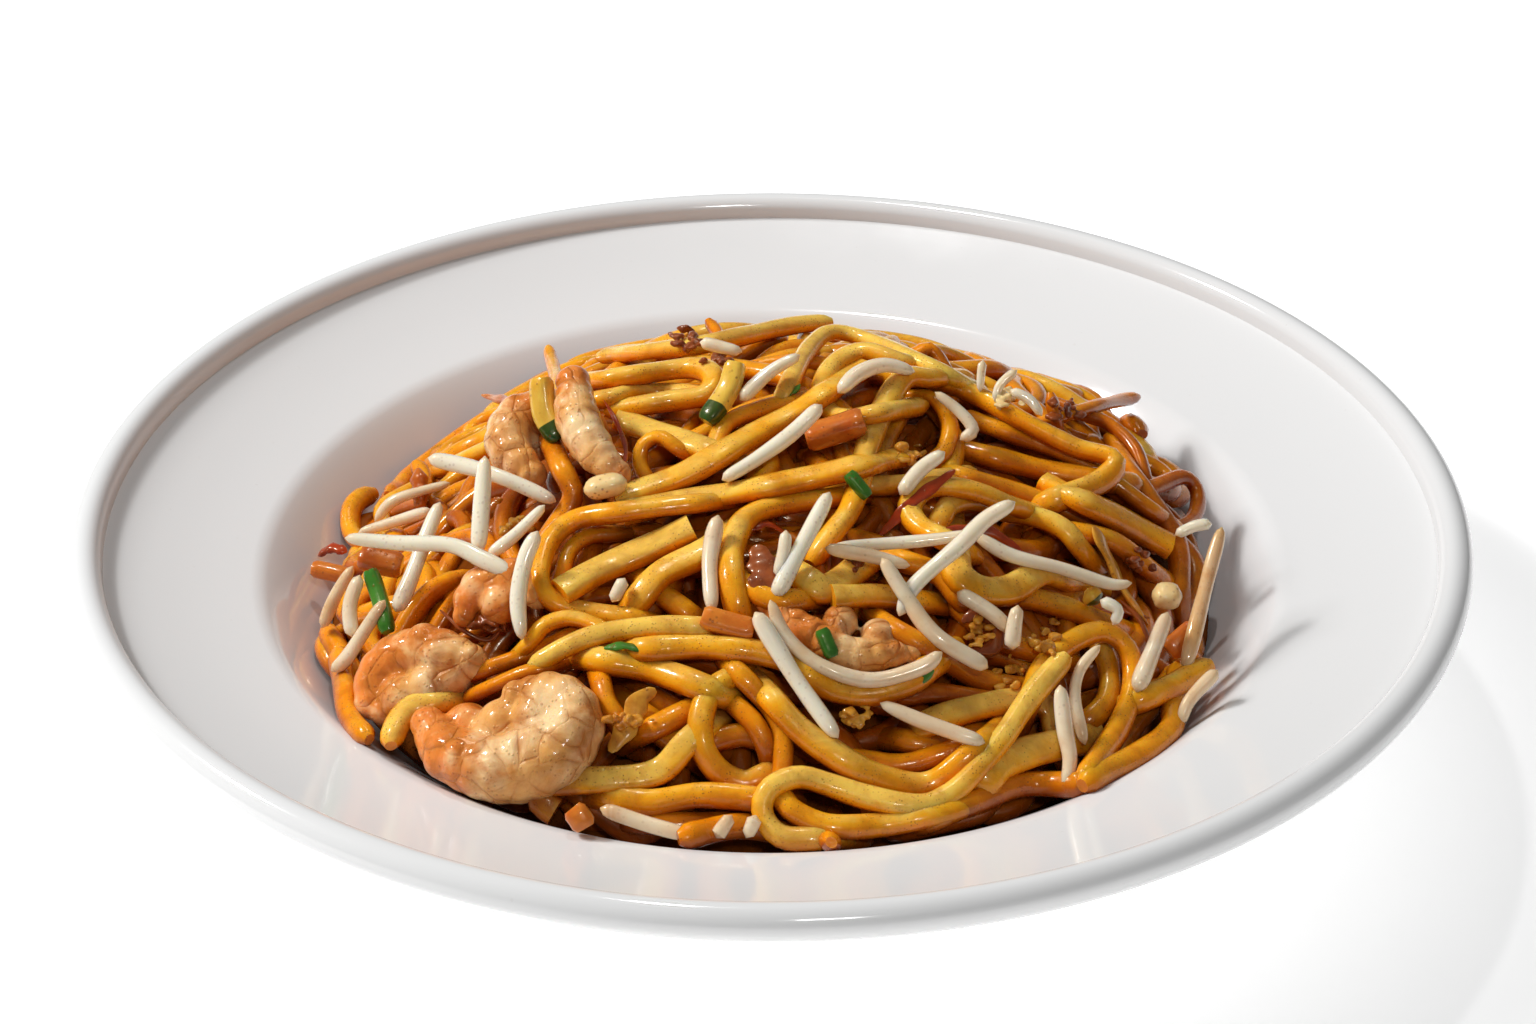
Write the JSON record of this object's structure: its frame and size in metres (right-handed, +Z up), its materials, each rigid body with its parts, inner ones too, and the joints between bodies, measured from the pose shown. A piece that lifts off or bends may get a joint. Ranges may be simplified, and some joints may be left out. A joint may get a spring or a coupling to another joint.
{
  "type": "plate of pad thai",
  "caption": "Heap of stir-fried flat noodles with prawns, bean sprouts and cut vegetables, built together with its one wide-rimmed deep white plate.",
  "frame": {"origin": "middle of the plate's foot, on the table", "axes": "+Z up out of the plate, +X to the right and -Y towards the viewer of the picture"},
  "size_m": [0.2796, 0.2796, 0.0817],
  "materials": {
    "porcelain": "glossy white glaze",
    "noodle": "soft noodles under a thin glossy sauce",
    "prawn": "cooked prawn, orange skin over cream flesh",
    "bean_sprout": "wet, slightly see-through bean sprout",
    "scallion": "waxy green onion leaf",
    "courgette": "cooked courgette with green skin",
    "carrot": "cooked carrot in sauce",
    "peanut": "shelled nut or bean"
  },
  "bodies": {
    "root": {"bean": "peanut", "carrot_back": "carrot", "carrot_front": "carrot", "carrot_left": "carrot", "carrot_middle": "carrot", "carrot_right": "carrot", "carrot_side": "carrot", "courgette_back": "courgette", "courgette_left": "courgette", "green_bean": "courgette", "noodles": "noodle", "peanut": "peanut", "plate": "porcelain", "prawn_back": "prawn", "prawn_centre": "prawn", "prawn_curled": "prawn", "prawn_front": "prawn", "prawn_left": "prawn", "prawn_middle": "prawn", "scallion_back": "scallion", "scallion_left": "scallion", "scallion_middle": "scallion", "sprout_01": "bean_sprout", "sprout_02": "bean_sprout", "sprout_03": "bean_sprout", "sprout_04": "bean_sprout", "sprout_05": "bean_sprout", "sprout_06": "bean_sprout", "sprout_07": "bean_sprout", "sprout_08": "bean_sprout", "sprout_09": "bean_sprout", "sprout_10": "bean_sprout", "sprout_11": "bean_sprout", "sprout_12": "bean_sprout", "sprout_13": "bean_sprout", "sprout_14": "bean_sprout", "sprout_15": "bean_sprout", "sprout_16": "bean_sprout", "sprout_17": "bean_sprout", "sprout_18": "bean_sprout", "sprout_19": "bean_sprout", "sprout_20": "bean_sprout", "sprout_21": "bean_sprout", "sprout_22": "bean_sprout", "sprout_23": "bean_sprout", "sprout_24": "bean_sprout", "sprout_25": "bean_sprout"}
  },
  "joints": []
}
